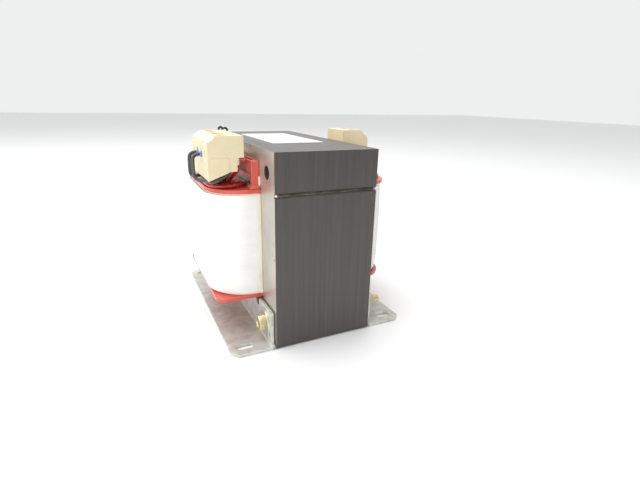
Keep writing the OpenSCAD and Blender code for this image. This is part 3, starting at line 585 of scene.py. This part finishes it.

# painted shade: these near-black tabs stand for the shadow under the lower flange's corners
flange_shade_black, tree, shader = finish("painted_flange_shade", (0.012, 0.012, 0.012), 0.4)
mottled(tree, shader, (0.01, 0.01, 0.01), (0.03, 0.028, 0.026), (200, 200, 200))
softened("under_flange_shade_tabs", "window_liner_tabs", 0.15 * mm, flange_shade_black, "black_liner")

# ---------------------------------------------------------------- terminal rails and blocks
# Red moulded rails peg into the upper flange and carry the terminal blocks on hooks. The blocks
# are ivory polyamide with a row of screw clamps, and a white marker strip let into the chamfer.
rail_red = moulding("red_rail", (0.66, 0.11, 0.075), (0.56, 0.08, 0.055), 0.36, Coat_Weight=0.15,
                    Coat_Roughness=0.15)
ivory = moulding("ivory_polyamide", (0.78, 0.69, 0.46), (0.72, 0.62, 0.4), 0.42, Subsurface_Weight=0.06,
                 Subsurface_Scale=0.002)
marker = moulding("marker_white", (0.93, 0.93, 0.92), (0.9, 0.9, 0.885), 0.3)
for side in ("left", "right"):
    softened(f"{side}_rail", f"{side}_terminal_rail", 0.35 * mm, rail_red, "rail_moulding")
    softened(f"{side}_block", f"{side}_terminal_block", 0.2 * mm, ivory, "beige_moulding", least=30 * mm,
             merge=False)
    softened(f"{side}_markers", f"{side}_marker_strip", 0.15 * mm, marker, "marker_white")


# ---------------------------------------------------------------- clamps
# In each pole a slotted zinc-plated screw pulls a steel cage up, and the cage presses the wire
# against a tinned copper bar that runs through to the back of the block.
def plated(name, colour, second, roughness, stretch=(70, 70, 70)):
    """Zinc or tin plating: patchy colour, uneven gloss and brighter rubbed edges."""
    mat, tree, shader = finish(name, colour, roughness, Metallic=1)
    patches = use(tree, mottle, First=(*colour, 1), Second=(*second, 1), Stretch=stretch, Low=0.32,
                  High=0.68)
    rub = use(tree, wear, Amount=0.9)
    bright = tuple(min(1, c * 1.25) for c in colour)
    tree.links.new(blend_colour(tree, rub["Mask"], patches["Color"], (*bright, 1)),
                   shader.inputs["Base Color"])
    textured(tree, shader, (500, 500, 500), roughness, 0.22, 0.00003)
    return mat


screw_plate = plated("screw_zinc", (0.72, 0.68, 0.56), (0.62, 0.59, 0.5), 0.3)
cage_plate = plated("cage_zinc", (0.66, 0.65, 0.62), (0.55, 0.54, 0.52), 0.36)
tin = plated("tinned_copper", (0.74, 0.71, 0.67), (0.65, 0.6, 0.54), 0.3)
for side in ("left", "right"):
    softened(f"{side}_bars", f"{side}_current_bars", 0.12 * mm, tin, "tinned_copper")
    poles = sum(node.startswith(f"{side}_clamp_screw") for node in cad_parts)
    for pole in range(1, 1 + poles):
        screw, cage = f"{side}_clamp_screw_{pole}", f"{side}_clamp_cage_{pole}"
        softened(f"{side}_screw_{pole}", screw, 0.15 * mm, screw_plate, "screw_zinc", body=screw)
        softened(f"{side}_cage_{pole}", cage, 0.15 * mm, cage_plate, "cage_zinc", body=cage)


# ---------------------------------------------------------------- leads and ferrules
# The windings' ends come up through the upper flange in glossy red sleeving, and run side by side
# to the blocks. Two dark wires with crimped ferrules loop out of the left block and back under it.
def sleeving(name, colour, second, roughness, gloss):
    """Soft sleeving or wire insulation: a slightly uneven colour and skin under a thin gloss."""
    mat, tree, shader = finish(name, colour, roughness, Coat_Weight=gloss, Coat_Roughness=0.1)
    mottled(tree, shader, colour, second, (160, 160, 160))
    textured(tree, shader, (420, 420, 420), roughness, 0.16, 0.00008)
    return mat


def rounded_lead(name, node, material, slot):
    """A copy of a CAD lead with its facets smoothed away by one level of subdivision."""
    flat, end_angle = math.radians(0.4), math.radians(60)
    bm = bmesh.new()
    bm.from_mesh(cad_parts[node].data)
    bmesh.ops.remove_doubles(bm, verts=bm.verts, dist=2e-6)
    ends = [e for e in bm.edges if len(e.link_faces) == 2 and e.calc_face_angle(0) > end_angle]
    bmesh.ops.dissolve_limit(bm, angle_limit=flat, verts=bm.verts,
                             edges=[e for e in bm.edges if e not in ends])
    for face in bm.faces:
        face.smooth = True
    piece = new_piece(name, bm, material, slot=slot, replaces=[node])
    smoother = piece.modifiers.new("round", "SUBSURF")
    smoother.levels = smoother.render_levels = 1


red_sleeve = sleeving("red_sleeving", (0.5, 0.025, 0.022), (0.4, 0.015, 0.015), 0.26, 0.5)
dark_wire = sleeving("dark_wire", (0.035, 0.037, 0.04), (0.07, 0.073, 0.078), 0.34, 0.2)
black_sleeve = sleeving("black_sleeving", (0.014, 0.014, 0.013), (0.04, 0.038, 0.034), 0.42, 0.1)
rounded_lead("left_red_leads", "left_winding_leads", red_sleeve, "red_sleeve")
rounded_lead("right_red_leads", "right_winding_leads", red_sleeve, "red_sleeve")
rounded_lead("near_dark_wire", "near_jumper_wire", dark_wire, "black_sleeve")
rounded_lead("far_dark_wire", "far_jumper_wire", dark_wire, "black_sleeve")
rounded_lead("thin_black_leads", "rear_sleeved_leads", black_sleeve, "black_sleeve")

collar_blue = moulding("ferrule_blue", (0.06, 0.2, 0.66), (0.16, 0.34, 0.78), 0.3)
softened("ferrule_collar_pair", "ferrule_collars", 0.3 * mm, collar_blue, "ferrule_blue")
softened("ferrule_tube_pair", "ferrule_sleeves", 0.15 * mm, tin, "ferrule_tin")

# ---------------------------------------------------------------- feet
# Angle brackets folded from galvanised sheet and bolted through the core's lower corners, with a
# near-black sheet between each bracket and the iron as painted shade for the gap there. The zinc
# shows soft grey spangle.
galvanised, tree, shader = finish("galvanised_sheet", (0.56, 0.57, 0.54), 0.5, Metallic=0.5)
spangle = add(tree, "ShaderNodeTexVoronoi", {"Vector": object_place(tree), "Scale": 190})
flake = add(tree, "ShaderNodeSeparateColor", {0: spangle.outputs["Color"]})
zinc = use(tree, mottle, First=(0.6, 0.61, 0.59, 1), Second=(0.52, 0.53, 0.49, 1), Stretch=(36, 24, 36))
tint = use(tree, mottle, First=(0, 0, 0, 1), Second=(1, 1, 1, 1), Stretch=(55, 40, 55), Low=0.56, High=0.78)
yellowed = blend_colour(tree, tint["Mask"], zinc["Color"], (0.6, 0.58, 0.4, 1))
flecked = add(tree, "ShaderNodeMapRange", {"Value": flake.outputs[0], "To Min": 0.88, "To Max": 1.12})
lit = add(tree, "ShaderNodeVectorMath", {0: yellowed, "Scale": flecked.outputs[0]}, operation="SCALE")
rub = use(tree, wear, Amount=0.9)
tree.links.new(blend_colour(tree, rub["Mask"], lit.outputs[0], (0.74, 0.73, 0.68, 1)),
               shader.inputs["Base Color"])
satin = add(tree, "ShaderNodeMapRange", {"Value": flake.outputs[1], "To Min": 0.42, "To Max": 0.56})
tree.links.new(satin.outputs[0], shader.inputs["Roughness"])
skin = use(tree, relief, Stretch=(260, 260, 260), Roughness=0.4, Variation=0.2)
bump(tree, shader, skin["Height"], 0.00004)
for side in ("left", "right"):
    softened(f"{side}_bracket", f"{side}_foot_bracket", 0.2 * mm, galvanised, "zinc_sheet")

# painted shade: the sheets under the brackets are coloured near black to stand for the shadow in the gap
gap_shade_material, tree, shader = finish("painted_gap_shade", (0.09, 0.06, 0.04), 0.75)
mottled(tree, shader, (0.11, 0.075, 0.05), (0.06, 0.042, 0.03), (80, 80, 80))
fibre = use(tree, relief, Stretch=(500, 120, 500), Roughness=0.75, Variation=0.15)
bump(tree, shader, fibre["Height"], 0.00006)
softened("gap_shade_pads", "foot_insulating_sheets", 0.12 * mm, gap_shade_material, "pressboard")

# ---------------------------------------------------------------- yoke bolts
# Two bolts run through the lower corners of the core in wound paper tubes. The heads are on the
# left and the nuts on the right, zinc plated in pale yellow. The flat and spring washers are a
# paler green-yellow.
wound_tube, tree, shader = finish("wound_paper_tube", (0.32, 0.2, 0.1), 0.6)
mottled(tree, shader, (0.36, 0.23, 0.12), (0.24, 0.15, 0.08), (300, 60, 60))
fibre = use(tree, relief, Stretch=(700, 200, 200), Roughness=0.6, Variation=0.15)
bump(tree, shader, fibre["Height"], 0.00005)
yellow = plated("yellow_zinc", (0.72, 0.6, 0.34), (0.66, 0.63, 0.48), 0.3, stretch=(160, 160, 160))
pale = plated("pale_zinc", (0.72, 0.72, 0.56), (0.66, 0.68, 0.62), 0.34, stretch=(130, 130, 130))
softened("bolt_tubes", "bolt_insulating_tubes", 0.1 * mm, wound_tube, "tube_brown")
softened("bolt_pair", "yoke_bolts", 0.4 * mm, yellow, "yellow_zinc")
softened("nut_pair", "yoke_nuts", 0.5 * mm, yellow, "yellow_zinc")
softened("flat_washers", "plain_washers", 0.25 * mm, pale, "pale_zinc")
softened("split_washers", "spring_washers", 0.15 * mm, pale, "pale_zinc")
